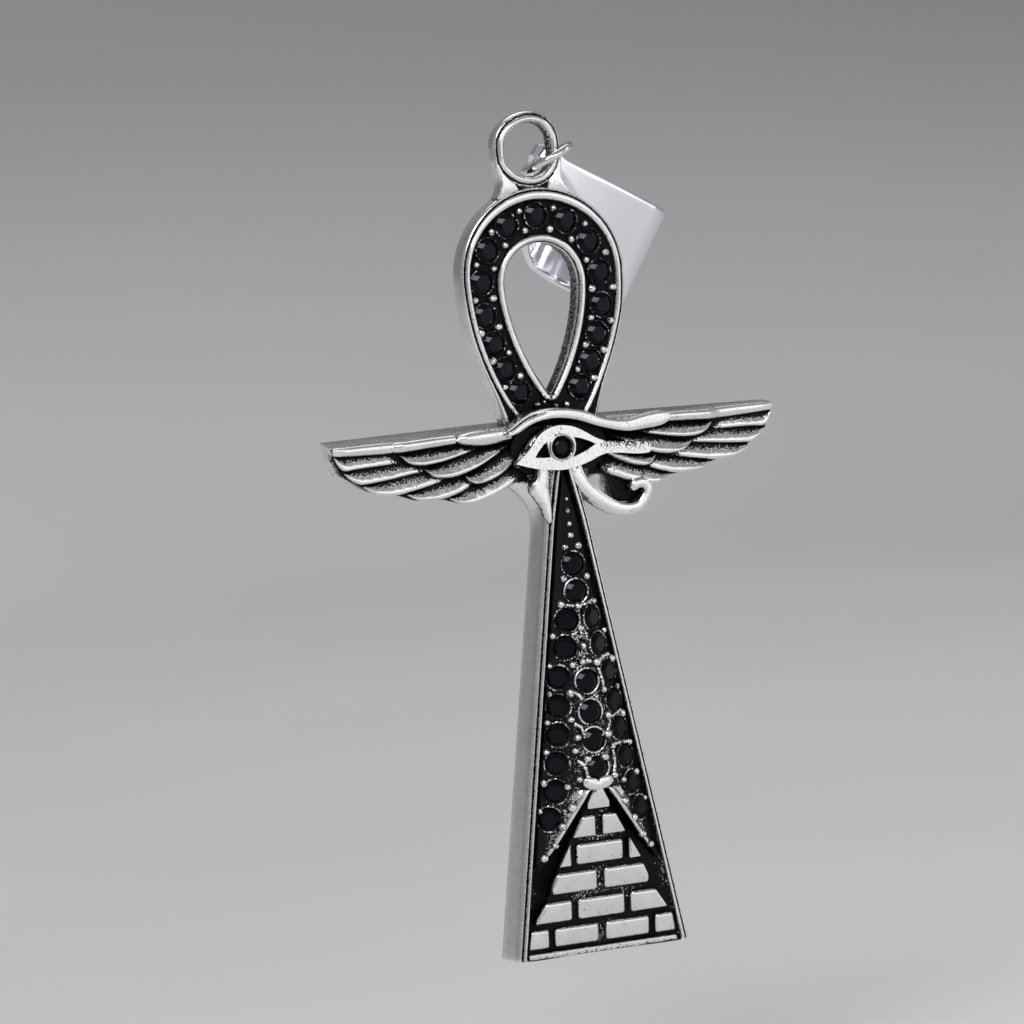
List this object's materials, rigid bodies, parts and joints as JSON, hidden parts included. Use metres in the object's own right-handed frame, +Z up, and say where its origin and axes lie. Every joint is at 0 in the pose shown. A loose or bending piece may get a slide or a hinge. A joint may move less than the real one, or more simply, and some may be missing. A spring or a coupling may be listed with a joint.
{
  "type": "ankh pendant",
  "caption": "Cast ankh pendant with a winged eye for its crossbar, a brick pyramid at its foot, black stones and a folded bail.",
  "frame": {"origin": "centre of the hanging eye on top of the ankh, the point that the pendant hangs from", "axes": "+Z up towards the eye from the foot, -Y out of the front, +X to the right as seen from the front"},
  "size_m": [0.0378, 0.0192, 0.0648],
  "materials": {
    "casting": "cast steel, blackened in the recesses and polished by wear on the rims",
    "stone": "jet black faceted stone, polished",
    "ring": "polished wire",
    "bail": "polished strip"
  },
  "bodies": {
    "ankh": {"ankh_casting": "casting", "iris_stone": "stone", "loop_stone_01": "stone", "loop_stone_02": "stone", "loop_stone_03": "stone", "loop_stone_04": "stone", "loop_stone_05": "stone", "loop_stone_06": "stone", "loop_stone_07": "stone", "loop_stone_08": "stone", "loop_stone_09": "stone", "loop_stone_10": "stone", "loop_stone_11": "stone", "loop_stone_12": "stone", "loop_stone_13": "stone", "loop_stone_14": "stone", "loop_stone_15": "stone", "post_stone_01": "stone", "post_stone_02": "stone", "post_stone_03": "stone", "post_stone_04": "stone", "post_stone_05": "stone", "post_stone_06": "stone", "post_stone_07": "stone", "post_stone_08": "stone", "post_stone_09": "stone", "post_stone_10": "stone", "post_stone_11": "stone", "post_stone_12": "stone", "post_stone_13": "stone", "post_stone_14": "stone", "post_stone_15": "stone", "post_stone_16": "stone", "post_stone_17": "stone", "post_stone_18": "stone", "post_stone_19": "stone", "post_stone_20": "stone", "post_stone_21": "stone", "post_stone_22": "stone"},
    "link": {"jump_ring": "ring"},
    "bail_strip": {"bail": "bail"}
  },
  "joints": [
    {"name": "link_swing", "type": "hinge", "parent": "ankh", "child": "link", "pos_m": [0.00216, 0, -0.00035], "axis": [0, 0, 1], "range_deg": [-50, 30]},
    {"name": "bail_swing", "type": "hinge", "parent": "link", "child": "bail_strip", "pos_m": [0.00254, 0.00223, -0.00112], "axis": [0.578, 0.09, 0.811], "range_deg": [-50, 90]}
  ]
}
